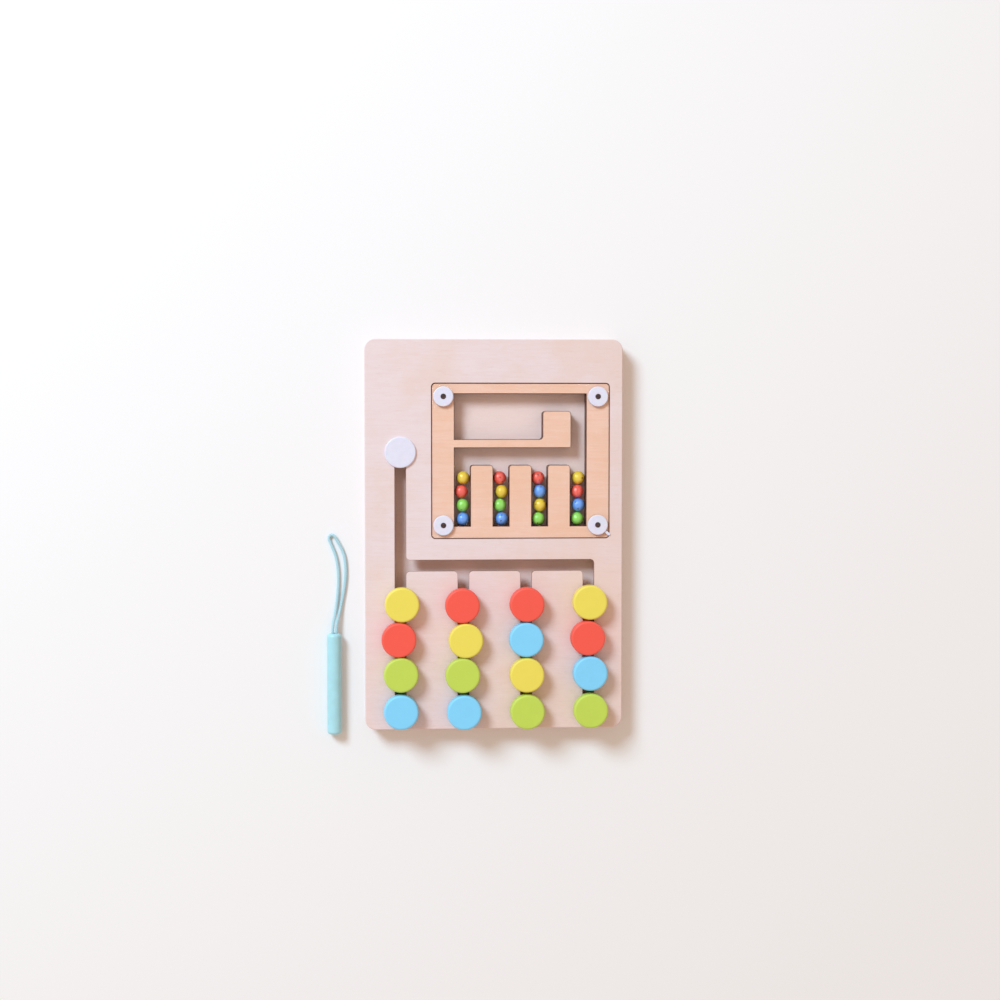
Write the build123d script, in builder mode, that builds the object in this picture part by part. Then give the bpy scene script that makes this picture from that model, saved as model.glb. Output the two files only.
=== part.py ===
from build123d import *
import os
from math import pi, radians, tan

os.makedirs("parts", exist_ok=True)

# Sizes are in millimetres. The board lies on its back with its face up. X runs across it, Y up
# towards the bead maze and Z out of its face, from the middle of its underside.

# Clearances
running_gap = 0.3
glue_gap = 0.05
window_fit = 0.25
overrun = 2

# Sliders: a painted disc on a stem, with a flange that keeps it in the board
disc_diameter = 26
disc_thickness = 10
disc_rounding = 1.6
disc_lift = 2.3
stem_diameter = 5
stem_depth_in_disc = 6
flange_diameter = 16
flange_thickness = 8
flange_rounding = 0.8

# Slots for the sliders
column_count = 4
row_count = 4
column_pitch = 47.5
slot_width = 8.4
slot_corner_radius = 3
channel_play = 0.2
row_gap = 1
row_play = 1.5
foot_margin = 1.3
crossing_gap = 29
crossing_wall = 10.4
left_margin = 26.8
plug_rise = 85.5

# Beads and the maze that they roll in
bead_diameter = 10
bead_gap = 0.4
bay_play = 2.25
bay_mouth = 4.6
bay_wall = 17
corridor_play = 3.1
passage_play = 1.6
shelf_thickness = 6.3
block_width = 21.4
block_rise = 21.4
chamber_height = 34.4
bay_wall_rounding = 2.2
block_rounding = 2.5
shelf_end_rounding = 1.2
maze_edge_rounding = 0.3
maze_edge_chamfer = 0.35

# Frame of the maze plate and the window that it fills
left_bar = 17.3
right_bar = 17.7
top_bar = 8.1
bottom_bar = 9.4
window_wall = 13.6
window_corner_radius = 3
cover_thickness = 1

# Board layers, from the back to the face
back_thickness = 5
guide_thickness = 10
face_thickness = 3
right_margin = 9.8
head_margin = 33
board_corner_radius = 8
board_edge_rounding = 0.8
slot_edge_rounding = 0.4

# Washers and screws that hold the window
cap_diameter = 15.2
cap_thickness = 2
cap_rounding = 0.7
cap_inset_x = 9
cap_inset_y = 10.2
cap_gate_length = 3.4
cap_gate_width = 2
cap_gate_thickness = 0.9
cap_gate_angle = -40
screw_diameter = 2.2
screw_head_diameter = 4
screw_head_thickness = 1
screw_head_recess = 0.2
screw_grip = 2.6
screw_tip_length = 1.2
driver_slot_length = 2.4
driver_slot_width = 0.6
driver_slot_depth = 0.5
screw_clearance = 0.2
head_clearance = 0.15

# Plug in the hole through which the sliders go in
plug_head_diameter = 23.6
plug_head_thickness = 2
plug_rounding = 0.9
plug_wall = 2
plug_fit = 0.1
entry_clearance = 1

# Pen with a magnet in its tip, lying beside the board
pen_diameter = 11
pen_length = 77
pen_gap = 17.9
pen_overhang = 4.9
pen_wall = 1.4
pen_tip_wall = 1.2
pen_tip_rounding = 2.4
pen_cap_length = 4.2
pen_cap_rounding = 2.6
pen_spigot_length = 7
pen_seam = 0.1
magnet_length = 9
magnet_gap = 0.1
cord_diameter = 2.4
cord_spacing = 2.7
cord_hole_clearance = 0.5
cord_hole_depth = 2
cord_arc_share = 0.45

# Column places, from the left edge of the board
channel_width = flange_diameter + slot_width - stem_diameter + channel_play
column_places = [left_margin + column_pitch * column for column in range(column_count)]
disc_radius = disc_diameter / 2
stem_radius = stem_diameter / 2
side_play = (slot_width - stem_diameter) / 2 - running_gap
lowest_row = foot_margin + disc_radius
row_pitch = disc_diameter + row_gap
top_row = lowest_row + row_pitch * (row_count - 1)
crossing_place = top_row + crossing_gap
plug_place = crossing_place + plug_rise
entry_diameter = flange_diameter + entry_clearance

# Maze places, from the board's lower left corner
bead_radius = bead_diameter / 2
bead_pitch = bead_diameter + bead_gap
bay_width = bead_diameter + bay_play
bay_depth = bead_pitch * row_count + bay_mouth
bay_pitch = bay_width + bay_wall
corridor_height = bead_diameter + corridor_play
passage_width = bead_diameter + passage_play
maze_width = bay_pitch * column_count - bay_wall
maze_height = bay_depth + corridor_height + shelf_thickness + chamber_height
window_left = left_margin + channel_width / 2 + window_wall
window_bottom = crossing_place + channel_width / 2 + crossing_wall
window_width = left_bar + maze_width + right_bar
window_height = bottom_bar + maze_height + top_bar
maze_left = window_left + left_bar
maze_bottom = window_bottom + bottom_bar
rightmost_cut = max(window_left + window_width, column_places[-1] + channel_width / 2)
board_width = rightmost_cut + right_margin
board_length = window_bottom + window_height + head_margin

# Heights
guide_level = back_thickness
face_level = guide_level + guide_thickness
board_top = face_level + face_thickness
cover_level = board_top - cover_thickness
maze_level = cover_level - glue_gap
flange_level = guide_level + running_gap
stem_level = flange_level + flange_thickness
disc_level = board_top + disc_lift
bead_level = guide_level + running_gap + bead_radius

# Where the four sliders of each column rest, from the lowest up: colour, then how far the slider
# sits to the right and above its place in the grid, as shares of its play
slider_shares = [
    [("blue", 0.15, 0.2), ("green", 0.15, 0.95), ("red", -1, 0.55), ("yellow", 0.7, 0.2)],
    [("blue", 0.15, -0.2), ("green", -0.7, 0.45), ("yellow", 1, -0.05), ("red", -0.85, -0.45)],
    [("green", 0.3, -0.2), ("yellow", 0, 0.4), ("blue", -0.3, 0.25), ("red", 0, -0.05)],
    [("green", 0.65, 0.05), ("blue", 0.35, 0.95), ("red", -1, 0.8), ("yellow", 0.1, 0.85)],
]

# Where the four beads of each bay rest, from the lowest up: colour, then how far the bead lies to
# the right of the bay's middle, as a share of its play
bead_shares = [
    [("blue", 0.6), ("green", 0.4), ("red", -0.85), ("yellow", 0.9)],
    [("blue", 0.95), ("green", -0.7), ("yellow", 0.8), ("red", -1)],
    [("green", -0.6), ("yellow", 0.9), ("blue", 0.75), ("red", -1)],
    [("green", -0.2), ("blue", 0.9), ("red", -0.15), ("yellow", 0.7)],
]
bead_play = bay_play / 2 - running_gap


def place(x, y, z):
    """A point given from the board's lower left corner, in the part's own frame."""
    return (x - board_width / 2, y - board_length / 2, z)


def level(z):
    """A level plane with its origin over the board's lower left corner."""
    return Plane(origin=place(0, 0, z))


def board_outline():
    """The outline that the three layers share, from the board's lower left corner."""
    with BuildSketch() as outline:
        with Locations((board_width / 2, board_length / 2)):
            RectangleRounded(board_width, board_length, board_corner_radius)
    return outline.sketch


def slots(width, entry):
    """The four columns, the crossing above them and the entry hole, at one width."""
    with BuildSketch() as net:
        for column, x in enumerate(column_places):
            top = plug_place if column == 0 else crossing_place
            with Locations((x, lowest_row)):
                Rectangle(width, top - lowest_row, align=(Align.CENTER, Align.MIN))
                Circle(width / 2)
        with Locations((column_places[0], crossing_place)):
            Rectangle(column_places[-1] - column_places[0] + width / 2, width,
                      align=(Align.MIN, Align.CENTER))
        corners = net.vertices().filter_by_position(
            Axis.Y, crossing_place - width, crossing_place + width)
        fillet(corners, slot_corner_radius)
        with Locations((column_places[0], plug_place)):
            Circle(entry / 2)
    return net.sketch


def window(inset):
    """The window for the maze, drawn in by an inset on each side."""
    with BuildSketch() as opening:
        with Locations((window_left + window_width / 2, window_bottom + window_height / 2)):
            RectangleRounded(window_width - 2 * inset, window_height - 2 * inset,
                             window_corner_radius - inset)
    return opening.sketch


# Screw places, one inside each corner of the window
cap_columns = [window_left + cap_inset_x, window_left + window_width - cap_inset_x]
cap_rows = [window_bottom + cap_inset_y, window_bottom + window_height - cap_inset_y]
cap_places = [(x, y) for y in cap_rows for x in cap_columns]
screw_hole_radius = (screw_diameter + screw_clearance) / 2

# Back panel, which the beads and the flanges run on
with BuildPart() as back_panel:
    with BuildSketch(level(0)):
        add(board_outline())
    extrude(amount=back_thickness)
    fillet(back_panel.edges().group_by(Axis.Z)[0], board_edge_rounding)
    with BuildSketch(level(guide_level)):
        with Locations(*cap_places):
            Circle(screw_diameter / 2 + glue_gap)
    extrude(amount=-screw_grip, mode=Mode.SUBTRACT)

# Guide layer, with wide channels for the flanges
with BuildPart() as guide_layer:
    with BuildSketch(level(guide_level)):
        add(board_outline())
        add(slots(channel_width, channel_width), mode=Mode.SUBTRACT)
        add(window(0), mode=Mode.SUBTRACT)
    extrude(amount=guide_thickness)

# Face panel, with narrow slots for the stems
with BuildPart() as face_panel:
    with BuildSketch(level(face_level)):
        add(board_outline())
        add(slots(slot_width, entry_diameter), mode=Mode.SUBTRACT)
        add(window(0), mode=Mode.SUBTRACT)
    extrude(amount=face_thickness)
    rim = face_panel.faces().sort_by(Axis.Z)[-1]
    fillet(rim.outer_wire().edges(), board_edge_rounding)
    inner_edges = [edge for wire in face_panel.faces().sort_by(Axis.Z)[-1].inner_wires()
                   for edge in wire.edges()]
    fillet(inner_edges, slot_edge_rounding)

# Maze plate: a frame with bays at the bottom, a shelf with a block above them and a chamber on top
shelf_length = maze_width - passage_width
shelf_bottom = maze_bottom + bay_depth + corridor_height
block_left = maze_left + shelf_length - block_width
with BuildPart() as maze_insert:
    with BuildSketch(level(guide_level)):
        add(window(window_fit))
        with Locations((maze_left, maze_bottom)):
            Rectangle(maze_width, maze_height, align=(Align.MIN, Align.MIN), mode=Mode.SUBTRACT)
        with BuildSketch(mode=Mode.PRIVATE) as shelf:
            with Locations((maze_left - overrun, shelf_bottom)):
                Rectangle(shelf_length + overrun, shelf_thickness, align=(Align.MIN, Align.MIN))
            with Locations((block_left, shelf_bottom)):
                Rectangle(block_width, shelf_thickness + block_rise, align=(Align.MIN, Align.MIN))
            fillet(shelf.vertices().group_by(Axis.Y)[-1], block_rounding)
            crook = shelf.vertices().filter_by_position(
                Axis.X, block_left - overrun, block_left + overrun)
            fillet(crook.filter_by_position(
                Axis.Y, shelf_bottom + overrun, shelf_bottom + shelf_thickness + overrun),
                block_rounding)
            fillet(shelf.vertices().group_by(Axis.Y)[0].sort_by(Axis.X)[-1], shelf_end_rounding)
        add(shelf.sketch)
        for bay in range(1, column_count):
            with BuildSketch(mode=Mode.PRIVATE) as bay_divider:
                with Locations((maze_left + bay_pitch * bay, maze_bottom - overrun)):
                    Rectangle(bay_wall, bay_depth + overrun, align=(Align.MAX, Align.MIN))
                fillet(bay_divider.vertices().group_by(Axis.Y)[-1], bay_wall_rounding)
            add(bay_divider.sketch)
    extrude(amount=maze_level - guide_level)
    chamfer(maze_insert.faces().sort_by(Axis.Z)[-1].edges(), maze_edge_chamfer)
    with BuildSketch(level(guide_level)):
        with Locations(*cap_places):
            Circle(screw_hole_radius)
    extrude(amount=maze_level - guide_level, mode=Mode.SUBTRACT)

# Clear cover, flush with the face
with BuildPart() as clear_cover:
    with BuildSketch(level(cover_level)):
        add(window(window_fit))
        with Locations(*cap_places):
            Circle(screw_hole_radius, mode=Mode.SUBTRACT)
    extrude(amount=cover_thickness)
    fillet(clear_cover.faces().sort_by(Axis.Z)[-1].outer_wire().edges(), maze_edge_rounding)

# Washers; the one at the lower right keeps the stub of its moulding gate
cap_top = board_top + cap_thickness
head_pocket_depth = screw_head_thickness + screw_head_recess
with BuildPart() as cover_caps:
    with BuildSketch(level(board_top)):
        with Locations(*cap_places):
            Circle(cap_diameter / 2)
            Circle(screw_hole_radius, mode=Mode.SUBTRACT)
    extrude(amount=cap_thickness)
    with BuildSketch(level(cap_top)):
        with Locations(*cap_places):
            Circle(screw_head_diameter / 2 + head_clearance)
    extrude(amount=-head_pocket_depth, mode=Mode.SUBTRACT)
    fillet([face.outer_wire().edge() for face in cover_caps.faces().group_by(Axis.Z)[-1]],
           cap_rounding)
    with BuildSketch(level(board_top)):
        with Locations(cap_places[1]):
            with PolarLocations(cap_diameter / 2 - overrun / 2, 1, start_angle=cap_gate_angle):
                SlotOverall(cap_gate_length + overrun, cap_gate_width,
                            align=(Align.MIN, Align.CENTER))
    extrude(amount=cap_gate_thickness)

# Screws through washer, cover and maze plate into the back panel
head_level = cap_top - head_pocket_depth
screw_end = guide_level - screw_grip + running_gap
with BuildPart() as cover_screws:
    with BuildSketch(level(head_level)):
        with Locations(*cap_places):
            Circle(screw_head_diameter / 2)
    extrude(amount=screw_head_thickness)
    with BuildSketch(level(head_level + screw_head_thickness)):
        with Locations(*cap_places):
            Rectangle(driver_slot_length, driver_slot_width)
            Rectangle(driver_slot_width, driver_slot_length)
    extrude(amount=-driver_slot_depth, mode=Mode.SUBTRACT)
    with BuildSketch(level(screw_end)):
        with Locations(*cap_places):
            Circle(screw_diameter / 2)
    extrude(amount=head_level - screw_end)
    chamfer([face.outer_wire().edge() for face in cover_screws.faces().group_by(Axis.Z)[0]],
            screw_tip_length, screw_diameter / 4)

# Plug that closes the entry hole and stops the sliders of the first column
with BuildPart() as entry_plug:
    with BuildSketch(level(board_top)):
        with Locations((column_places[0], plug_place)):
            Circle(plug_head_diameter / 2)
    extrude(amount=plug_head_thickness)
    fillet(entry_plug.faces().sort_by(Axis.Z)[-1].outer_wire().edges(), plug_rounding)
    with BuildSketch(level(guide_level)):
        with Locations((column_places[0], plug_place)):
            Circle(entry_diameter / 2 - plug_fit)
            Circle(entry_diameter / 2 - plug_fit - plug_wall, mode=Mode.SUBTRACT)
    extrude(amount=board_top - guide_level)

# Sliders: in each column a disc glued on the stem of each glide
sliders = []
for column, stack in enumerate(slider_shares):
    for row, (colour, side_share, rise_share) in enumerate(stack):
        x = column_places[column] + side_play * side_share
        y = lowest_row + row_pitch * row + row_play * rise_share
        with BuildPart() as disc:
            with BuildSketch(level(disc_level)):
                with Locations((x, y)):
                    Circle(disc_radius)
            extrude(amount=disc_thickness)
            fillet(disc.edges().filter_by(GeomType.CIRCLE), disc_rounding)
            with BuildSketch(level(disc_level)):
                with Locations((x, y)):
                    Circle(stem_radius + glue_gap)
            extrude(amount=stem_depth_in_disc, mode=Mode.SUBTRACT)
        disc.part.label = f"{colour}_disc_{column + 1}"
        with BuildPart() as glide:
            with BuildSketch(level(flange_level)):
                with Locations((x, y)):
                    Circle(flange_diameter / 2)
            extrude(amount=flange_thickness)
            fillet(glide.edges().filter_by(GeomType.CIRCLE), flange_rounding)
            with BuildSketch(level(stem_level)):
                with Locations((x, y)):
                    Circle(stem_radius)
            extrude(amount=disc_level + stem_depth_in_disc - stem_level)
        glide.part.label = f"{colour}_glide_{column + 1}"
        sliders += [disc, glide]

# Beads, four in each bay
beads = []
for column, stack in enumerate(bead_shares):
    middle = maze_left + bay_pitch * column + bay_width / 2
    for row, (colour, side_share) in enumerate(stack):
        x = middle + bead_play * side_share
        y = maze_bottom + running_gap + bead_radius + bead_pitch * row
        with BuildPart() as bead:
            with Locations(place(x, y, bead_level)):
                Sphere(bead_radius)
        bead.part.label = f"{colour}_bead_{column + 1}"
        beads.append(bead)

# Pen, from its tip at the lower end to the cap with the cord
pen_radius = pen_diameter / 2
pen_bore_radius = pen_radius - pen_wall
pen_tip = Vector(-board_width / 2 - pen_gap - pen_radius,
                 -board_length / 2 - pen_overhang, pen_radius)
pen_up = Vector(0, 1, 0)


def pen_section(distance):
    """A plane square to the pen, at a distance from its tip."""
    return Plane(origin=pen_tip + pen_up * distance, x_dir=(1, 0, 0), z_dir=pen_up)


barrel_length = pen_length - pen_cap_length
with BuildPart() as pen_barrel:
    with BuildSketch(pen_section(0)):
        Circle(pen_radius)
    extrude(amount=barrel_length)
    fillet(pen_barrel.edges().group_by(Axis.Y)[0], pen_tip_rounding)
    with BuildSketch(pen_section(pen_tip_wall)):
        Circle(pen_bore_radius)
    extrude(amount=barrel_length - pen_tip_wall, mode=Mode.SUBTRACT)

with BuildPart() as pen_magnet:
    with BuildSketch(pen_section(pen_tip_wall)):
        Circle(pen_bore_radius - magnet_gap)
    extrude(amount=magnet_length)

cord_hole_radius = (cord_spacing + cord_diameter + cord_hole_clearance) / 2
with BuildPart() as pen_end_cap:
    with BuildSketch(pen_section(barrel_length)):
        Circle(pen_radius)
    extrude(amount=pen_cap_length)
    fillet(pen_end_cap.edges().group_by(Axis.Y)[-1], pen_cap_rounding)
    with BuildSketch(pen_section(pen_length)):
        Circle(cord_hole_radius)
    extrude(amount=-cord_hole_depth, mode=Mode.SUBTRACT)
    with BuildSketch(pen_section(barrel_length)):
        Circle(pen_bore_radius - pen_seam)
    extrude(amount=-pen_spigot_length)

# Cord: both its ends leave the cap side by side, and it lies on the surface in one narrow loop.
# The points are offsets from the middle of the cap's end across and along, and heights.
cord_offsets = [
    (-1.35, 5, 5.5),
    (0.4, 13.3, 3.2),
    (1.8, 21.8, 1.5),
    (3.1, 34.6, 1.3),
    (3.3, 46.4, 1.3),
    (1.6, 58.4, 1.3),
    (-2.2, 67.5, 1.3),
    (-4.3, 72.4, 1.3),
    (-2.8, 74.7, 1.3),
    (-0.1, 74.6, 1.3),
    (2.7, 70.1, 1.3),
    (7.6, 60.6, 1.3),
    (9.1, 48.2, 1.3),
    (8, 35.2, 1.3),
    (5.5, 22.6, 1.5),
    (3.6, 13.9, 3),
    (1.35, 5.6, 5.5),
]
cord_exit = pen_section(pen_length).origin
cord_root = pen_section(pen_length - cord_hole_depth).origin
cord_side = Vector(cord_spacing / 2, 0, 0)
cord_points = [cord_root - cord_side]
cord_points += [Vector(cord_exit.X + x, cord_exit.Y + y, z) for x, y, z in cord_offsets]
cord_points += [cord_root + cord_side]


def bend_radii(points):
    """The radius of the arc at each inner point of a route: as large as its two runs allow."""
    radii = []
    for before, corner, after in zip(points, points[1:], points[2:]):
        run_in = corner - before
        run_out = after - corner
        half_turn = radians(run_in.get_angle(run_out)) / 2
        radii.append(cord_arc_share * min(run_in.length, run_out.length) / tan(half_turn))
    return radii


with BuildPart() as pen_cord:
    with BuildLine() as cord_path:
        FilletPolyline(*cord_points, radius=bend_radii(cord_points))
    cord_line = cord_path.wire()
    with BuildSketch(Plane(origin=cord_points[0], z_dir=cord_line % 0)):
        Circle(cord_diameter / 2)
    sweep(path=cord_line)

cord_area = pi * cord_diameter**2 / 4
print("cord length", round(cord_line.length, 1))
print("cord volume over section times length",
      round(pen_cord.part.volume / (cord_area * cord_line.length), 4))
print("cord runs", [round((b - a).length, 1) for a, b in zip(cord_points, cord_points[1:])])
print("cord radii", [round(radius, 1) for radius in bend_radii(cord_points)])

# Names
back_panel.part.label = "back_panel"
guide_layer.part.label = "guide_layer"
face_panel.part.label = "face_panel"
maze_insert.part.label = "maze_insert"
clear_cover.part.label = "clear_cover"
cover_caps.part.label = "cover_caps"
cover_screws.part.label = "cover_screws"
entry_plug.part.label = "entry_plug"
pen_barrel.part.label = "pen_barrel"
pen_magnet.part.label = "pen_magnet"
pen_end_cap.part.label = "pen_end_cap"
pen_cord.part.label = "pen_cord"

fixed_pieces = [back_panel, guide_layer, face_panel, maze_insert, clear_cover, cover_caps,
                cover_screws, entry_plug]
pen_pieces = [pen_barrel, pen_magnet, pen_end_cap, pen_cord]
for piece in fixed_pieces + sliders + beads + pen_pieces:
    export_step(piece.part, f"parts/{piece.part.label}.step")
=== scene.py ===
import bpy
import bmesh
from math import cos, pi, sin
from mathutils import Color, Matrix, Vector


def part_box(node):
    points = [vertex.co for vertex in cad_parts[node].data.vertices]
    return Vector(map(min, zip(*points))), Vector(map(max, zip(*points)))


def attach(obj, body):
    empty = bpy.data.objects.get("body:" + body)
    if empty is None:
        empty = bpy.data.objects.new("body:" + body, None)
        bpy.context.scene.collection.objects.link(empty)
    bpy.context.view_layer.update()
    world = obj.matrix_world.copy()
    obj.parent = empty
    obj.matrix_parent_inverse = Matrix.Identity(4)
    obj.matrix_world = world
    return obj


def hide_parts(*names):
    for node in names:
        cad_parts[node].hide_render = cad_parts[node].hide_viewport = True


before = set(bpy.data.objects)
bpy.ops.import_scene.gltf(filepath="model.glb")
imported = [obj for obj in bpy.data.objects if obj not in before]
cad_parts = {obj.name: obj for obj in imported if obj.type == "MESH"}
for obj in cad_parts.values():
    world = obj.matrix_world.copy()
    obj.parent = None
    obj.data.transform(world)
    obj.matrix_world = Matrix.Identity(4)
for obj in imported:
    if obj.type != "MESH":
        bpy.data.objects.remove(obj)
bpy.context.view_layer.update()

MM = 0.001

# Colours of the toy, in sRGB from 0 to 255
PALE_PLY = (236, 218, 220)
PALE_PLY_STREAK = (231, 207, 205)
# PLY_PAINTED_FALLOFF is painted light: the veneer's warmer tone towards the board's foot, where
# the lamp's light falls off
PLY_PAINTED_FALLOFF = (240, 214, 212)
PLY_PAINTED_FALLOFF_STREAK = (233, 204, 199)
BACK_PLY = (249, 223, 217)
BACK_PLY_STREAK = (246, 215, 207)
PLY_PATCH = (232, 200, 180)
PLY_CORE = (205, 166, 132)
PLY_END_GRAIN = (176, 132, 98)
PLY_GLUE = (120, 84, 62)
SCORCH_LIGHT = (150, 96, 68)
# SCORCH_AND_SHADE_BROWN is the scorch of cut walls, and also painted shade on undersides, which
# browns the light bounced into the slots
SCORCH_AND_SHADE_BROWN = (168, 98, 56)
SCORCH_DARK = (84, 38, 26)
MAZE_WOOD = (245, 205, 186)
MAZE_WOOD_STREAK = (241, 191, 165)
MAZE_WOOD_PATCH = (240, 190, 156)
STEM_WOOD = (222, 186, 148)
STEM_WOOD_STREAK = (190, 148, 108)
WHITE_PLASTIC = (230, 229, 246)
SCREW_STEEL = (92, 74, 72)
MAGNET_NICKEL = (190, 190, 192)
PEN_MINT = (172, 224, 234)
CORD_BLUE = (200, 233, 241)
CORD_SHADE = (172, 215, 227)
DISC_PAINT = {
    "yellow": (241, 223, 92),
    "red": (250, 92, 76),
    "green": (197, 220, 88),
    "blue": (134, 215, 255),
}
BEAD_PAINT = {
    "yellow": (248, 212, 62),
    "red": (255, 100, 84),
    "green": (152, 232, 96),
    "blue": (112, 170, 255),
}
BEAD_CHIP = (62, 26, 24)
FLOOR_WHITE = (247, 246, 247)


def linear(colour, share=1.0):
    """An sRGB colour as the linear colour, with alpha, that sockets take, dimmed to a share."""
    plain = Color([value / 255 for value in colour]).from_srgb_to_scene_linear()
    return (*(plain * share), 1)


# Camera: above the board, a little to its upper left
CAMERA_PLACE = Vector((-0.08801, 0.08655, 1.37303))
CAMERA_AIM = Vector((0.00449, 0.02625, 0.018))
CAMERA_LENS = 64.8
SENSOR_WIDTH = 36
UP_THE_BOARD = Vector((0, 1, 0))


def set_camera():
    camera_data = bpy.data.cameras.new("board_camera")
    camera_data.lens = CAMERA_LENS
    camera_data.sensor_width = SENSOR_WIDTH
    camera = bpy.data.objects.new("board_camera", camera_data)
    bpy.context.scene.collection.objects.link(camera)
    back = (CAMERA_PLACE - CAMERA_AIM).normalized()
    right = UP_THE_BOARD.cross(back).normalized()
    turn = Matrix((right, back.cross(right), back)).transposed()
    camera.matrix_world = Matrix.Translation(CAMERA_PLACE) @ turn.to_4x4()
    bpy.context.scene.camera = camera


set_camera()


# Pen cord: a core with eight round strands braided over it, which leaves the pen's cap, lies in
# a loop and goes back into the cap. The route is in millimetres, across, along and up from the
# floor under the middle of the cap's end.
CAP_END = Vector((-120.9, -75.4, 0)) * MM
CORD_ROUTE = [
    (-1.35, -2, 5.5), (-1.35, 5, 5.5), (0.4, 13.3, 3.2), (1.8, 21.8, 1.5), (3.1, 34.6, 1.3),
    (3.3, 46.4, 1.3), (1.6, 58.4, 1.3), (-2.2, 67.5, 1.3), (-4.3, 72.4, 1.3), (-2.8, 74.7, 1.3),
    (-0.1, 74.6, 1.3), (2.7, 70.1, 1.3), (7.6, 60.6, 1.3), (9.1, 48.2, 1.3), (8, 35.2, 1.3),
    (5.5, 22.6, 1.5), (3.6, 13.9, 3), (1.35, 5.6, 5.5), (1.35, -2, 5.5),
]
BRAID_PAIRS = 4
BRAID_TURN_LENGTH = 5.4 * MM
BRAID_STEPS_PER_TURN = 24
CORE_RADIUS = 0.86 * MM
BRAID_WAVE = 0.12 * MM
STRAND_RADIUS = 0.3 * MM
STRAND_ROUNDNESS = 1
SPLINE_ORDER = 3
SPLINE_STEPS = 24
UPWARD = Vector((0, 0, 1))


def spline_mesh(kind, points, radius=0.0):
    """The mesh of one spline: its bare line, or a closed round strand if it has a radius."""
    curve = bpy.data.curves.new("cord_line", "CURVE")
    curve.dimensions = "3D"
    spline = curve.splines.new(kind)
    spline.points.add(len(points) - 1)
    for point, place in zip(spline.points, points):
        point.co = (*place, 1)
    spline.order_u = SPLINE_ORDER
    spline.use_endpoint_u = True
    spline.resolution_u = SPLINE_STEPS
    curve.bevel_depth = radius
    curve.bevel_resolution = STRAND_ROUNDNESS
    curve.use_fill_caps = radius > 0
    holder = bpy.data.objects.new("cord_line", curve)
    bpy.context.scene.collection.objects.link(holder)
    bpy.context.view_layer.update()
    mesh = bpy.data.meshes.new_from_object(holder)
    bpy.data.objects.remove(holder)
    bpy.data.curves.remove(curve)
    return mesh


def even_stations(points, step):
    """Stations at even steps along the line: place, direction along it and run so far."""
    lengths = [0]
    for before, after in zip(points, points[1:]):
        lengths.append(lengths[-1] + (after - before).length)
    count = round(lengths[-1] / step)
    stations = []
    index = 0
    for number in range(count + 1):
        run = lengths[-1] * number / count
        while index < len(points) - 2 and lengths[index + 1] < run:
            index += 1
        share = (run - lengths[index]) / (lengths[index + 1] - lengths[index])
        stations.append((points[index].lerp(points[index + 1], share), run))
    ahead = [place for place, run in stations[1:]] + [stations[-1][0]]
    behind = [stations[0][0]] + [place for place, run in stations[:-1]]
    return [(place, (front - back).normalized(), run)
            for (place, run), front, back in zip(stations, ahead, behind)]


def strand_line(stations, direction, phase):
    """One strand's line: it winds round the core, and weaves over and under the strands that
    wind the other way."""
    line = []
    for place, along, run in stations:
        turn = 2 * pi * run / BRAID_TURN_LENGTH
        angle = phase + direction * turn
        level = along.cross(UPWARD).normalized()
        upright = level.cross(along).normalized()
        reach = CORE_RADIUS + direction * BRAID_WAVE * cos(BRAID_PAIRS * turn)
        line.append(place + (level * cos(angle) + upright * sin(angle)) * reach)
    return line


def braid_cord():
    route = [CAP_END + Vector((across, along, height)) * MM
             for across, along, height in CORD_ROUTE]
    route_line = spline_mesh("NURBS", route)
    points = [vertex.co.copy() for vertex in route_line.vertices]
    bpy.data.meshes.remove(route_line)
    stations = even_stations(points, BRAID_TURN_LENGTH / BRAID_STEPS_PER_TURN)
    strands = [([place for place, along, run in stations], CORE_RADIUS)]
    for direction in (1, -1):
        for strand in range(BRAID_PAIRS):
            phase = 2 * pi * strand / BRAID_PAIRS
            strands.append((strand_line(stations, direction, phase), STRAND_RADIUS))
    mesh = bmesh.new()
    for line, radius in strands:
        strand_mesh = spline_mesh("POLY", line, radius)
        mesh.from_mesh(strand_mesh)
        bpy.data.meshes.remove(strand_mesh)
    bmesh.ops.recalc_face_normals(mesh, faces=mesh.faces)
    data = bpy.data.meshes.new("braided_cord")
    mesh.to_mesh(data)
    mesh.free()
    cord = bpy.data.objects.new("braided_cord", data)
    bpy.context.scene.collection.objects.link(cord)
    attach(cord, "pen")
    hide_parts("pen_cord")
    return cord


braided_cord = braid_cord()


# Building materials
def fill(tree, node, sockets):
    """Gives each named socket of a node a value, or a link from another node's output."""
    for name, value in sockets.items():
        if isinstance(value, bpy.types.NodeSocket):
            tree.links.new(value, node.inputs[name])
        else:
            node.inputs[name].default_value = value


def put(tree, kind, sockets=None, **settings):
    """Adds a node with its settings, and fills its sockets."""
    node = tree.nodes.new(kind)
    for name, value in settings.items():
        setattr(node, name, value)
    fill(tree, node, sockets or {})
    return node


def maths(tree, operation, *values):
    """A Math node's result for its values."""
    return put(tree, "ShaderNodeMath", dict(enumerate(values)), operation=operation).outputs[0]


def vector_maths(tree, operation, *vectors):
    """A Vector Math node's outputs for its vectors."""
    return put(tree, "ShaderNodeVectorMath", dict(enumerate(vectors)), operation=operation).outputs


def height_of(tree, vector):
    """How far a place or a direction goes up."""
    return put(tree, "ShaderNodeSeparateXYZ", {"Vector": vector}).outputs["Z"]


def noise(tree, place, scale, detail, roughness=0.5, distortion=0.0):
    """A cloudy value over a place, mostly near a half."""
    return put(tree, "ShaderNodeTexNoise",
               {"Vector": place, "Scale": scale, "Detail": detail, "Roughness": roughness,
                "Distortion": distortion}).outputs[0]


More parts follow.
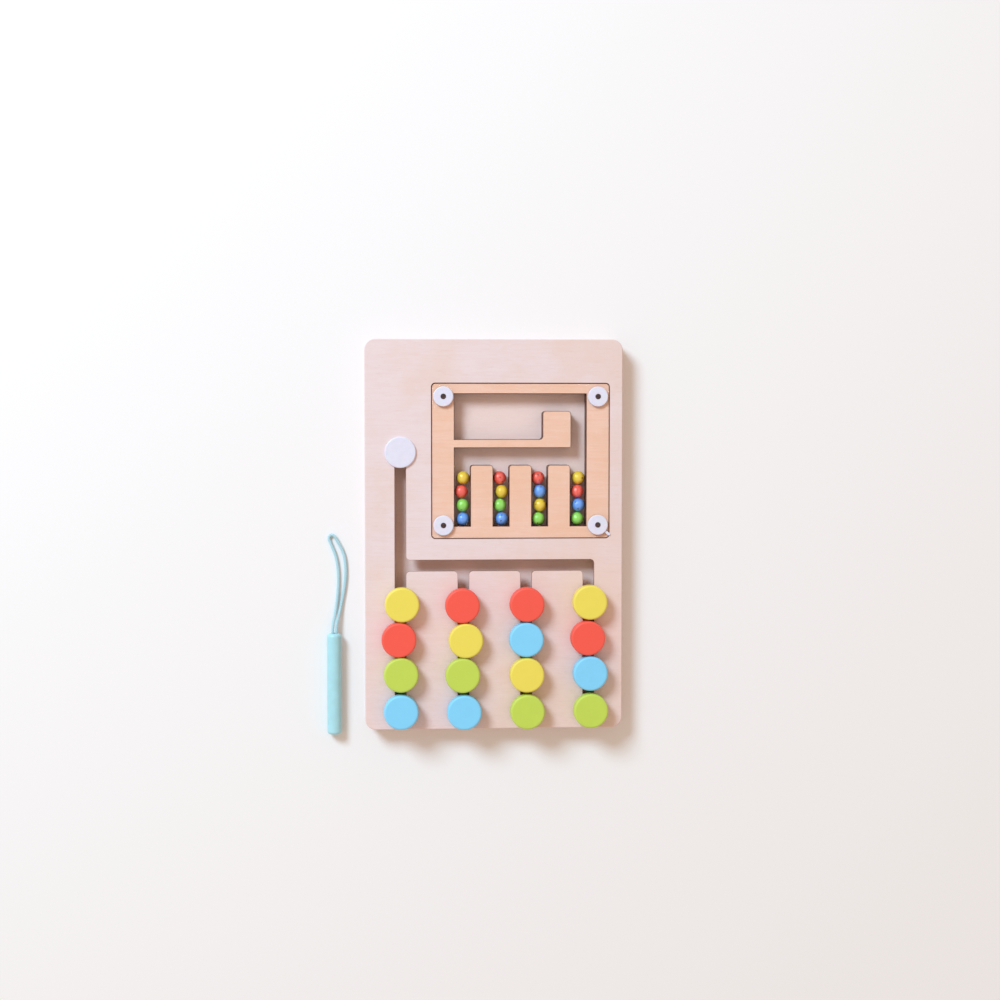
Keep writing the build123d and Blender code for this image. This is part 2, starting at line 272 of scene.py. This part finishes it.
def stretch(tree, value, source, target=(0, 1)):
    """A value from one range, spread smoothly over another."""
    return put(tree, "ShaderNodeMapRange",
               {"Value": value, "From Min": source[0], "From Max": source[1],
                "To Min": target[0], "To Max": target[1]},
               interpolation_type="SMOOTHSTEP").outputs["Result"]


def blend(tree, share, first, second):
    """One colour over another, by a share from 0 to 1."""
    return put(tree, "ShaderNodeMix", {0: share, 6: first, 7: second},
               data_type="RGBA").outputs[2]


def new_group(name, inputs, outputs):
    """An empty node group with its inputs, which are names with default vectors or numbers, and
    its outputs, which are names of numbers."""
    group = bpy.data.node_groups.new(name, "ShaderNodeTree")
    for label, default in inputs.items():
        kind = "NodeSocketVector" if isinstance(default, tuple) else "NodeSocketFloat"
        socket = group.interface.new_socket(label, in_out="INPUT", socket_type=kind)
        socket.default_value = default
    for label in outputs:
        group.interface.new_socket(label, in_out="OUTPUT", socket_type="NodeSocketFloat")
    given = group.nodes.new("NodeGroupInput").outputs
    return group, given, group.nodes.new("NodeGroupOutput")


def use(tree, group, sockets):
    """Places a node group in a material."""
    return put(tree, "ShaderNodeGroup", sockets, node_tree=group).outputs


# Noise values that are spread from nothing to all: soft clouds, and clouds with bare gaps
SOFT_CLOUDS = (0.3, 0.7)
BARE_CLOUDS = (0.35, 0.7)
FULL = (0, 1)
MIDDLE = (0, 0, 0)

# Wood: long soft streaks and short fine pores
STREAKS = (0.33, 0.68)
PORES = (0.56, 0.72)
PORE_FINENESS = (5.3, 5.3, 5.3)


def timber_grain():
    """Streaks and pores along one way of the wood."""
    group, given, result = new_group(
        "timber_grain", {"Place": MIDDLE, "Stretch": MIDDLE, "Contrast": 1.0}, ["Streak", "Pores"])
    run = vector_maths(group, "MULTIPLY", given["Place"], given["Stretch"])[0]
    fine_run = vector_maths(group, "MULTIPLY", run, PORE_FINENESS)[0]
    broad = noise(group, run, scale=1, detail=5, roughness=0.6, distortion=0.9)
    fine = noise(group, fine_run, scale=1, detail=3, roughness=0.7)
    streak = maths(group, "MULTIPLY", stretch(group, broad, STREAKS), given["Contrast"])
    fill(group, result, {"Streak": streak, "Pores": stretch(group, fine, PORES)})
    return group


# Veneers: broad warm patches, which gather to one side of the board
PATCHES = (0.38, 0.72)


def warm_patches():
    """Broad cloudy patches where a veneer is warmer."""
    group, given, result = new_group(
        "warm_patches", {"Place": MIDDLE, "Gather": MIDDLE, "Amount": 1.0}, ["Patch"])
    cloud = noise(group, given["Place"], scale=0.022, detail=4, roughness=0.65)
    gathered = vector_maths(group, "DOT_PRODUCT", given["Place"], given["Gather"])["Value"]
    patch = stretch(group, maths(group, "ADD", cloud, gathered), PATCHES)
    fill(group, result, {"Patch": maths(group, "MULTIPLY", patch, given["Amount"])})
    return group


# How far up a surface faces, from 0 to 1: from wall to level, and from level to broken edge
WALL_TO_LEVEL = (0.2, 0.45)
LEVEL_TO_EDGE = (0.995, 0.93)


def cut_faces():
    """Masks from the way that a surface faces: its upright walls, and its broken edges."""
    group, given, result = new_group("cut_faces", {"Normal": MIDDLE}, ["Wall", "Edge"])
    level = maths(group, "ABSOLUTE", height_of(group, given["Normal"]))
    fill(group, result, {"Wall": stretch(group, level, WALL_TO_LEVEL, (1, 0)),
                         "Edge": stretch(group, level, LEVEL_TO_EDGE)})
    return group


# The board's outline, in millimetres
BOARD_CORNER_RADIUS = 8
SANDED_RIM = 1


def inside_board():
    """A mask that is 1 inside the board and 0 in the sanded rim of its rounded outline."""
    group, given, result = new_group("inside_board", {"Place": MIDDLE}, ["Inside"])
    low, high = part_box("face_panel")
    corner = [(high - low)[side] / 2 / MM - BOARD_CORNER_RADIUS for side in (0, 1)]
    sides = vector_maths(group, "ABSOLUTE", given["Place"])[0]
    past = vector_maths(group, "SUBTRACT", sides, (*corner, 0))[0]
    past = vector_maths(group, "MAXIMUM", past, MIDDLE)[0]
    past = vector_maths(group, "MULTIPLY", past, (1, 1, 0))[0]
    reach = vector_maths(group, "LENGTH", past)["Value"]
    inside = maths(group, "LESS_THAN", reach, BOARD_CORNER_RADIUS - SANDED_RIM)
    fill(group, result, {"Inside": inside})
    return group


# Paint chips: the ragged reach of their outlines, in parts of their spacing
RAGGED_REACH = (-0.06, 0.06)


def paint_chips():
    """Small spots where paint is knocked off, with ragged outlines."""
    group, given, result = new_group(
        "paint_chips", {"Place": MIDDLE, "Density": 1.0, "Size": 0.1}, ["Chip"])
    cloud = noise(group, given["Place"], scale=3, detail=2)
    ragged = stretch(group, cloud, SOFT_CLOUDS, RAGGED_REACH)
    cells = put(group, "ShaderNodeTexVoronoi",
                {"Vector": given["Place"], "Scale": given["Density"]}, feature="F1")
    distance = maths(group, "ADD", cells.outputs["Distance"], ragged)
    fill(group, result, {"Chip": maths(group, "LESS_THAN", distance, given["Size"])})
    return group


# Scratches: two sets, each with its turn in radians and how fine it is across and along
SCRATCH_SETS = ((0.5, 2.4, 0.06), (-0.9, 2, 0.05))
SCRATCH_FINENESS_UP = 0.3
SCRATCH_SHIFT = 7
SCRATCHES = (0.64, 0.72)


def fine_scratches():
    """Hair-fine scuffs that cross each other."""
    group, given, result = new_group(
        "fine_scratches", {"Place": MIDDLE, "Amount": 1.0}, ["Scuff"])
    scuffs = []
    for number, (turn, across, along) in enumerate(SCRATCH_SETS):
        turned = put(group, "ShaderNodeVectorRotate", {"Vector": given["Place"], "Angle": turn},
                     rotation_type="Z_AXIS").outputs[0]
        drawn = put(group, "ShaderNodeMapping",
                    {"Vector": turned, "Location": (number * SCRATCH_SHIFT, 0, 0),
                     "Scale": (across, along, SCRATCH_FINENESS_UP)}).outputs[0]
        scuffs.append(stretch(group, noise(group, drawn, scale=1, detail=2), SCRATCHES))
    both = maths(group, "MAXIMUM", *scuffs)
    fill(group, result, {"Scuff": maths(group, "MULTIPLY", both, given["Amount"])})
    return group


GRAIN = timber_grain()
WARM_PATCHES = warm_patches()
CUT_FACES = cut_faces()
INSIDE_BOARD = inside_board()
CHIPS = paint_chips()
SCUFFS = fine_scratches()


class Finish:
    """A material with its nodes and its Principled shader, the place on the toy in millimetres
    that its patterns follow, and the way that the surface faces."""

    def __init__(self, name):
        self.material = bpy.data.materials.new(name)
        self.material.use_nodes = True
        self.tree = self.material.node_tree
        self.tree.nodes.clear()
        self.shader = put(self.tree, "ShaderNodeBsdfPrincipled")
        self.output = put(self.tree, "ShaderNodeOutputMaterial",
                          {"Surface": self.shader.outputs[0]})
        coordinates = put(self.tree, "ShaderNodeTexCoord").outputs
        self.normal = coordinates["Normal"]
        self.place = put(self.tree, "ShaderNodeMapping",
                         {"Vector": coordinates["Object"], "Scale": [1 / MM] * 3}).outputs[0]

    def shade(self, sockets):
        """Fills the shader's sockets."""
        fill(self.tree, self.shader, sockets)

    def relief(self, height, depth):
        """Puts bumps of a depth under the shader."""
        bump = put(self.tree, "ShaderNodeBump", {"Height": height, "Distance": depth})
        self.shade({"Normal": bump.outputs[0]})

    def open_up(self, share, tint=(1, 1, 1, 1)):
        """Lets a share of the light straight through."""
        clear = put(self.tree, "ShaderNodeBsdfTransparent", {"Color": tint})
        mix = put(self.tree, "ShaderNodeMixShader",
                  {0: share, 1: self.shader.outputs[0], 2: clear.outputs[0]})
        fill(self.tree, self.output, {"Surface": mix.outputs[0]})


# Bare wood: its gloss, and the depth of its grain
WOOD_GLOSS = 0.3
GRAIN_DEPTH = 0.04 * MM


def grain_height(tree, grain):
    return maths(tree, "ADD", grain["Streak"], grain["Pores"])


# Plywood: painted light falloff, the veneer is paler towards the head of the board, nearer the
# lamp, and warmer towards its foot, where the light falls off
PAINTED_FALLOFF_WAY = (0.25, -1, 0)
PAINTED_FALLOFF_RANGE = (-20, 110)
PATCH_GATHER = (0.0006, 0, 0)
PLY_CONTRAST = 0.4
PLY_PORES = 0.16
PLY_ROUGHNESS = (0.52, 0.62)

# Its plies: how far they waver, half a glue line's thickness and how strongly it shows
PLY_WAVER = (-0.09, 0.09)
GLUE_LINE = 0.07
GLUE_SHARE = 0.6

# Its cuts: how brown the walls are inside the board, and the edges above them
WALL_SCORCH = (0.5, 0.85)
WALL_SCORCH_CLOUDS = (0.3, 0.75)
EDGE_SCORCH = 0.55


def veneer(tree, place, grain, tones, patches):
    """The colour of a veneer's face, from its paler tone and the warmer tone of its painted light
    falloff, each with a streak.
    """
    pale, falloff_tone = (blend(tree, grain["Streak"], linear(tone), linear(streak))
                   for tone, streak in tones)
    # Painted light falloff: paler towards the lamp at the head of the board, warmer towards its
    # foot
    painted_falloff = vector_maths(tree, "DOT_PRODUCT", place, PAINTED_FALLOFF_WAY)["Value"]
    face = blend(tree, stretch(tree, painted_falloff, PAINTED_FALLOFF_RANGE), pale, falloff_tone)
    warm = use(tree, WARM_PATCHES, {"Place": place, "Gather": PATCH_GATHER, "Amount": patches})
    face = blend(tree, warm["Patch"], face, linear(PLY_PATCH))
    return blend(tree, maths(tree, "MULTIPLY", grain["Pores"], PLY_PORES), face, linear(PLY_CORE))


def ply_masks(tree, place, glue_lines):
    """Masks of the plies that show their end grain, which are every other one, and of the glue
    between them. glue_lines are heights in millimetres, from the lowest up."""
    cloud = noise(tree, place, scale=0.11, detail=2)
    waver = stretch(tree, cloud, SOFT_CLOUDS, PLY_WAVER)
    height = maths(tree, "ADD", height_of(tree, place), waver)
    end_grain = glue = 0
    for low, high in zip(glue_lines[0::2], glue_lines[1::2]):
        inside = maths(tree, "MULTIPLY", maths(tree, "GREATER_THAN", height, low),
                       maths(tree, "LESS_THAN", height, high))
        end_grain = maths(tree, "MAXIMUM", inside, end_grain)
    for level in glue_lines:
        near = maths(tree, "COMPARE", height, level, GLUE_LINE)
        glue = maths(tree, "MAXIMUM", near, glue)
    return end_grain, glue


def plywood_finish(name, glue_lines, grain_way, tones, patches, underside_smoke_and_shade):
    """Pale plywood: grain on its faces, its plies on its edges and scorched cuts inside it.

    tones are the veneer's paler colour and the warmer colour of its painted light falloff. patches
    is how strongly it is patched, and underside_smoke_and_shade how far its underside is browned,
    as cutting smoke and as painted shade that browns the light bounced into the slots."""
    finish = Finish(name)
    tree, place = finish.tree, finish.place
    faces = use(tree, CUT_FACES, {"Normal": finish.normal})
    grain = use(tree, GRAIN, {"Place": place, "Stretch": grain_way, "Contrast": PLY_CONTRAST})
    face = veneer(tree, place, grain, tones, patches)
    # Walls on the board's outline show the plies, and those inside it are scorched too
    speckle = noise(tree, place, scale=1.7, detail=4, roughness=0.8)
    end_grain, glue = ply_masks(tree, place, glue_lines)
    bands = blend(tree, stretch(tree, speckle, BARE_CLOUDS), linear(PLY_CORE),
                  linear(PLY_END_GRAIN))
    side = blend(tree, end_grain, face, bands)
    side = blend(tree, maths(tree, "MULTIPLY", glue, GLUE_SHARE), side, linear(PLY_GLUE))
    scorch = stretch(tree, speckle, WALL_SCORCH_CLOUDS, WALL_SCORCH)
    inside = use(tree, INSIDE_BOARD, {"Place": place})["Inside"]
    wall = blend(tree, inside, side, blend(tree, scorch, side, linear(SCORCH_AND_SHADE_BROWN)))
    # Faces that look down are browned, as cutting smoke and as painted shade that browns the light
    # bounced into the slots, and edges inside the board are browned
    downward = maths(tree, "LESS_THAN", height_of(tree, finish.normal), 0)
    face = blend(tree, maths(tree, "MULTIPLY", downward, underside_smoke_and_shade), face, linear(SCORCH_AND_SHADE_BROWN))
    colour = blend(tree, faces["Wall"], face, wall)
    edge = maths(tree, "MULTIPLY", maths(tree, "MULTIPLY", faces["Edge"], inside), EDGE_SCORCH)
    colour = blend(tree, edge, colour, linear(SCORCH_LIGHT))
    finish.shade({"Base Color": colour,
                  "Roughness": stretch(tree, grain["Pores"], FULL, PLY_ROUGHNESS),
                  "Specular IOR Level": WOOD_GLOSS})
    finish.relief(grain_height(tree, grain), GRAIN_DEPTH)
    return finish.material


# The maze plate: grain across the board, faint patches and nearly black cuts
MAZE_GRAIN_WAY = (0.035, 0.4, 0.4)
MAZE_CONTRAST = 0.6
MAZE_PATCHES = 0.45
MAZE_PORES = 0.18
SOOT_SHARE = 0.7


def maze_wood_finish():
    """Peach-coloured maze plate, laser cut: dark scorched walls and a dark line at each edge."""
    finish = Finish("maze_wood")
    tree, place = finish.tree, finish.place
    faces = use(tree, CUT_FACES, {"Normal": finish.normal})
    grain = use(tree, GRAIN, {"Place": place, "Stretch": MAZE_GRAIN_WAY,
                              "Contrast": MAZE_CONTRAST})
    warm = use(tree, WARM_PATCHES, {"Place": place, "Gather": MIDDLE, "Amount": MAZE_PATCHES})
    face = blend(tree, grain["Streak"], linear(MAZE_WOOD), linear(MAZE_WOOD_STREAK))
    face = blend(tree, warm["Patch"], face, linear(MAZE_WOOD_PATCH))
    face = blend(tree, maths(tree, "MULTIPLY", grain["Pores"], MAZE_PORES), face,
                 linear(PLY_CORE))
    soot = noise(tree, place, scale=0.5, detail=4, roughness=0.7)
    burnt = blend(tree, stretch(tree, soot, BARE_CLOUDS), linear(SCORCH_DARK),
                  linear(SCORCH_LIGHT))
    wall = blend(tree, SOOT_SHARE, burnt, linear(SCORCH_DARK))
    finish.shade({"Base Color": blend(tree, faces["Edge"], face, wall), "Roughness": 0.55,
                  "Specular IOR Level": WOOD_GLOSS})
    finish.relief(grain_height(tree, grain), GRAIN_DEPTH)
    return finish.material


STEM_GRAIN_WAY = (0.7, 0.7, 0.08)
STEM_CONTRAST = 0.8
STEM_PORES = 0.4
STEM_PORE_DEPTH = 0.05 * MM


def stem_finish():
    """Turned birch stems, bare wood."""
    finish = Finish("stem_wood")
    tree = finish.tree
    grain = use(tree, GRAIN, {"Place": finish.place, "Stretch": STEM_GRAIN_WAY,
                              "Contrast": STEM_CONTRAST})
    colour = blend(tree, grain["Streak"], linear(STEM_WOOD), linear(STEM_WOOD_STREAK))
    colour = blend(tree, maths(tree, "MULTIPLY", grain["Pores"], STEM_PORES), colour,
                   linear(PLY_END_GRAIN))
    finish.shade({"Base Color": colour, "Roughness": 0.55})
    finish.relief(grain["Pores"], STEM_PORE_DEPTH)
    return finish.material


# Disc paint: how far clouds and grain deepen it, and how pale its rim is, as thinner paint and as
# a painted highlight on the rounded edge
DISC_GRAIN_WAY = (0.5, 0.06, 0.5)
DISC_DEEPER = 0.93
DISC_CLOUDS = (0, 0.35)
DISC_STREAKS = 0.1
DISC_RIM = 0.12
DISC_RIM_PALER = 0.1
DISC_ROUGHNESS = (0.42, 0.52)
DISC_STREAK_DEPTH = 0.7
DISC_DEPTH = 0.03 * MM


def disc_finish(colour_name):
    """Satin paint over a turned wooden disc: the grain shows faintly, and the rim is paler, as
    thinner paint and as a painted highlight.
    """
    finish = Finish(f"{colour_name}_paint")
    tree, place = finish.tree, finish.place
    paint = linear(DISC_PAINT[colour_name])
    deeper = linear(DISC_PAINT[colour_name], DISC_DEEPER)
    paler = [value + (1 - value) * DISC_RIM_PALER for value in paint]
    faces = use(tree, CUT_FACES, {"Normal": finish.normal})
    grain = use(tree, GRAIN, {"Place": place, "Stretch": DISC_GRAIN_WAY, "Contrast": 1.0})
    cloud = noise(tree, place, scale=0.12, detail=3)
    colour = blend(tree, stretch(tree, cloud, SOFT_CLOUDS, DISC_CLOUDS), paint, deeper)
    colour = blend(tree, maths(tree, "MULTIPLY", grain["Streak"], DISC_STREAKS), colour, deeper)
    # The rim is paler all round: thinner paint, and partly a painted highlight on the rounded edge
    colour = blend(tree, maths(tree, "MULTIPLY", faces["Edge"], DISC_RIM), colour, paler)
    finish.shade({"Base Color": colour,
                  "Roughness": stretch(tree, cloud, SOFT_CLOUDS, DISC_ROUGHNESS),
                  "Specular IOR Level": 0.35})
    peel = noise(tree, place, scale=1.3, detail=2)
    streaks = maths(tree, "MULTIPLY", grain["Streak"], DISC_STREAK_DEPTH)
    finish.relief(maths(tree, "ADD", peel, streaks), DISC_DEPTH)
    return finish.material


# Bead paint: how many chips there are to a millimetre, and their radius in parts of their spacing
CHIP_DENSITY = 0.24
CHIP_SIZE = 0.14
BEAD_DEEPER = 0.9
BEAD_ROUGHNESS = (0.17, 0.5)
BEAD_CLOUD_DEPTH = 0.3
BEAD_DEPTH = 0.06 * MM


def bead_finish(colour_name):
    """Glossy enamel on a steel bead, with a few small chips that show dark metal."""
    finish = Finish(f"{colour_name}_bead")
    tree, place = finish.tree, finish.place
    paint = BEAD_PAINT[colour_name]
    chip = use(tree, CHIPS, {"Place": place, "Density": CHIP_DENSITY, "Size": CHIP_SIZE})["Chip"]
    cloud = noise(tree, place, scale=0.35, detail=3)
    colour = blend(tree, stretch(tree, cloud, BARE_CLOUDS), linear(paint),
                   linear(paint, BEAD_DEEPER))
    colour = blend(tree, chip, colour, linear(BEAD_CHIP))
    finish.shade({"Base Color": colour, "Roughness": stretch(tree, chip, FULL, BEAD_ROUGHNESS),
                  "Coat Weight": 0.4, "Coat Roughness": 0.08})
    clouds = maths(tree, "MULTIPLY", cloud, BEAD_CLOUD_DEPTH)
    finish.relief(maths(tree, "SUBTRACT", clouds, chip), BEAD_DEPTH)
    return finish.material


def cloudy_finish(name, colour, deeper, clouds, scale, detail, scuffs, roughness):
    """A finish with clouds of a deeper colour, and scuffs that are rougher than the rest. Returns
    it with its mask of scuffs."""
    finish = Finish(name)
    tree = finish.tree
    scuff = use(tree, SCUFFS, {"Place": finish.place, "Amount": scuffs})["Scuff"]
    cloud = stretch(tree, noise(tree, finish.place, scale, detail), clouds)
    finish.shade({"Base Color": blend(tree, cloud, linear(colour), linear(colour, deeper)),
                  "Roughness": stretch(tree, scuff, FULL, roughness)})
    return finish, scuff


WHITE_DEPTH = 0.006 * MM
PEN_DEPTH = 0.015 * MM
SCRATCH_DEPTH = 0.01 * MM


def white_plastic_finish():
    """Moulded white plastic, faintly cool, with a fine mould texture."""
    finish, scuff = cloudy_finish("white_plastic", WHITE_PLASTIC, deeper=0.97, clouds=SOFT_CLOUDS,
                                  scale=0.25, detail=3, scuffs=0.6, roughness=(0.34, 0.48))
    finish.shade({"Subsurface Weight": 0.15, "Subsurface Scale": 1 * MM})
    texture = noise(finish.tree, finish.place, scale=6, detail=2)
    finish.relief(maths(finish.tree, "SUBTRACT", texture, scuff), WHITE_DEPTH)
    return finish.material


def pen_finish():
    """Mint pen barrel: satin moulded plastic with a slight sheen and fine scuffs."""
    finish, scuff = cloudy_finish("pen_plastic", PEN_MINT, deeper=0.94, clouds=SOFT_CLOUDS,
                                  scale=0.15, detail=3, scuffs=0.7, roughness=(0.36, 0.5))
    texture = noise(finish.tree, finish.place, scale=3, detail=2)
    finish.relief(maths(finish.tree, "SUBTRACT", texture, scuff), PEN_DEPTH)
    return finish.material


def metal_finish(name, colour, smooth, scratched):
    """Plated steel with fine scratches, and how rough it is outside and inside them."""
    finish, scuff = cloudy_finish(name, colour, deeper=0.6, clouds=BARE_CLOUDS, scale=0.9,
                                  detail=4, scuffs=1, roughness=(smooth, scratched))
    finish.shade({"Metallic": 1})
    finish.relief(scuff, SCRATCH_DEPTH)
    return finish.material


# Cord: how fine its fibres are along and round a strand, on the strand's own UV map
FIBRE_FINENESS = (9, 160, 1)
FIBRE_DEPTH = 0.04 * MM


def cord_finish():
    """Nylon yarn: fine paler and deeper fibres along each strand."""
    finish = Finish("cord")
    tree = finish.tree
    strand = put(tree, "ShaderNodeUVMap", uv_map="UVMap").outputs[0]
    fibres = put(tree, "ShaderNodeMapping", {"Vector": strand, "Scale": FIBRE_FINENESS}).outputs[0]
    yarn = noise(tree, fibres, scale=1, detail=3, roughness=0.6)
    colour = blend(tree, stretch(tree, yarn, BARE_CLOUDS), linear(CORD_BLUE), linear(CORD_SHADE))
    finish.shade({"Base Color": colour, "Roughness": 0.6, "Sheen Weight": 0.3})
    finish.relief(yarn, FIBRE_DEPTH)
    return finish.material


# Clear sheet: how rough it is outside and inside its scuffs, and the tints of its two shaders
CLEAR_ROUGHNESS = (0.02, 0.12)
CLEAR_TINT = (0.995, 1, 1, 1)
CLEAR_SHADE = (0.99, 0.99, 0.99, 1)


def clear_finish():
    """Clear acrylic sheet, which lets the lamps and the surroundings light what is below it."""
    finish = Finish("clear_acrylic")
    tree = finish.tree
    scuff = use(tree, SCUFFS, {"Place": finish.place, "Amount": 0.5})["Scuff"]
    finish.shade({"Base Color": CLEAR_TINT, "IOR": 1.1, "Transmission Weight": 1,
                  "Roughness": stretch(tree, scuff, FULL, CLEAR_ROUGHNESS)})
    rays = put(tree, "ShaderNodeLightPath").outputs
    finish.open_up(maths(tree, "MAXIMUM", rays["Is Shadow Ray"], rays["Is Diffuse Ray"]),
                   CLEAR_SHADE)
    return finish.material


# The finishes go on the pieces. Glue lines are heights in millimetres, and a grain way says how
# fine the grain is along X, Y and Z.
BACK_GLUE_LINES = (1.6, 3.4)
GUIDE_GLUE_LINES = (7, 9, 11, 13)
FACE_GLUE_LINES = (16, 17)
ALONG_BOARD = (0.35, 0.03, 0.35)
ACROSS_BOARD = (0.03, 0.35, 0.35)
# The second face tone is the painted light falloff towards the board's foot
FACE_TONES = ((PALE_PLY, PALE_PLY_STREAK), (PLY_PAINTED_FALLOFF, PLY_PAINTED_FALLOFF_STREAK))
BACK_TONES = ((BACK_PLY, BACK_PLY_STREAK),) * 2
FACE_PATCHES = 0.4
# How far undersides are browned: cutting smoke, and painted shade that browns the light bounced
# into the slots
UNDERSIDE_SMOKE_AND_SHADE = 0.6

finishes = {
    "back_panel": plywood_finish("back_plywood", BACK_GLUE_LINES, ACROSS_BOARD, BACK_TONES,
                                 patches=0, underside_smoke_and_shade=0),
    "guide_layer": plywood_finish("guide_plywood", GUIDE_GLUE_LINES, ALONG_BOARD, FACE_TONES,
                                  FACE_PATCHES, UNDERSIDE_SMOKE_AND_SHADE),
    "face_panel": plywood_finish("face_plywood", FACE_GLUE_LINES, ACROSS_BOARD, FACE_TONES,
                                 FACE_PATCHES, UNDERSIDE_SMOKE_AND_SHADE),
    "maze_insert": maze_wood_finish(),
    "clear_cover": clear_finish(),
    "cover_screws": metal_finish("screw_steel", SCREW_STEEL, smooth=0.38, scratched=0.58),
    "pen_magnet": metal_finish("magnet_nickel", MAGNET_NICKEL, smooth=0.22, scratched=0.42),
}
finishes["cover_caps"] = finishes["entry_plug"] = white_plastic_finish()
finishes["pen_barrel"] = finishes["pen_end_cap"] = pen_finish()
stem_wood = stem_finish()
disc_paint = {colour: disc_finish(colour) for colour in DISC_PAINT}
bead_paint = {colour: bead_finish(colour) for colour in BEAD_PAINT}
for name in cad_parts:
    colour = name.split("_")[0]
    if "_disc_" in name:
        finishes[name] = disc_paint[colour]
    elif "_glide_" in name:
        finishes[name] = stem_wood
    elif "_bead_" in name:
        finishes[name] = bead_paint[colour]
for name, finish in finishes.items():
    for material_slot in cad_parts[name].material_slots:
        material_slot.material = finish
braided_cord.data.materials.append(cord_finish())

# Floor, lamp and surroundings. The floor fades out between two distances in millimetres.
FLOOR_HALF_WIDTH = 6
FLOOR_LEVEL = -0.2 * MM
FLOOR_FADE = (700, 1800)
KEY_DIRECTION = Vector((-0.74, 0.8, 1)).normalized()
KEY_DISTANCE = 3.2
KEY_SIZE = 1.15
KEY_POWER = 86
KEY_TINT = (0.63, 0.842, 1)
FILL_STRENGTH = 0.64
FILL_TINT = (1, 0.79, 0.64, 1)
WHITE = (1, 1, 1, 1)
ONE_BOUNCE = 0.5


def lay_floor():
    """A pale floor that fades into the white surroundings far from the board."""
    mesh = bmesh.new()
    bmesh.ops.create_grid(mesh, x_segments=1, y_segments=1, size=FLOOR_HALF_WIDTH,
                          matrix=Matrix.Translation((0, 0, FLOOR_LEVEL)))
    data = bpy.data.meshes.new("floor")
    mesh.to_mesh(data)
    mesh.free()
    floor = bpy.data.objects.new("floor", data)
    bpy.context.scene.collection.objects.link(floor)
    finish = Finish("floor")
    finish.shade({"Base Color": linear(FLOOR_WHITE), "Roughness": 0.9, "Specular IOR Level": 0})
    reach = vector_maths(finish.tree, "LENGTH", finish.place)["Value"]
    finish.open_up(stretch(finish.tree, reach, FLOOR_FADE))
    data.materials.append(finish.material)


def hang_key_lamp():
    """A large round lamp to the upper left."""
    lamp_data = bpy.data.lights.new("key_lamp", "AREA")
    lamp_data.shape = "DISK"
    lamp_data.size = KEY_SIZE
    lamp_data.energy = KEY_POWER
    lamp_data.color = KEY_TINT
    lamp = bpy.data.objects.new("key_lamp", lamp_data)
    bpy.context.scene.collection.objects.link(lamp)
    lamp.location = KEY_DIRECTION * KEY_DISTANCE
    lamp.rotation_euler = KEY_DIRECTION.to_track_quat("Z", "Y").to_euler()


def fill_surroundings():
    """Warm light from all sides, which is plain white where it is seen itself, in gloss or
    through the clear sheet, and not by way of a matt surface."""
    world = bpy.data.worlds.new("studio")
    bpy.context.scene.world = world
    world.use_nodes = True
    tree = world.node_tree
    tree.nodes.clear()
    rays = put(tree, "ShaderNodeLightPath").outputs
    seen = maths(tree, "MAXIMUM", rays["Is Camera Ray"], rays["Is Glossy Ray"])
    seen = maths(tree, "MAXIMUM", seen, rays["Is Transmission Ray"])
    first_hand = maths(tree, "LESS_THAN", rays["Diffuse Depth"], ONE_BOUNCE)
    seen = maths(tree, "MULTIPLY", seen, first_hand)
    strength = maths(tree, "MULTIPLY_ADD", seen, 1 - FILL_STRENGTH, FILL_STRENGTH)
    tint = blend(tree, seen, FILL_TINT, WHITE)
    sky = put(tree, "ShaderNodeBackground", {"Color": tint, "Strength": strength})
    put(tree, "ShaderNodeOutputWorld", {"Surface": sky.outputs[0]})


lay_floor()
hang_key_lamp()
fill_surroundings()
bpy.context.scene.view_settings.view_transform = "Standard"
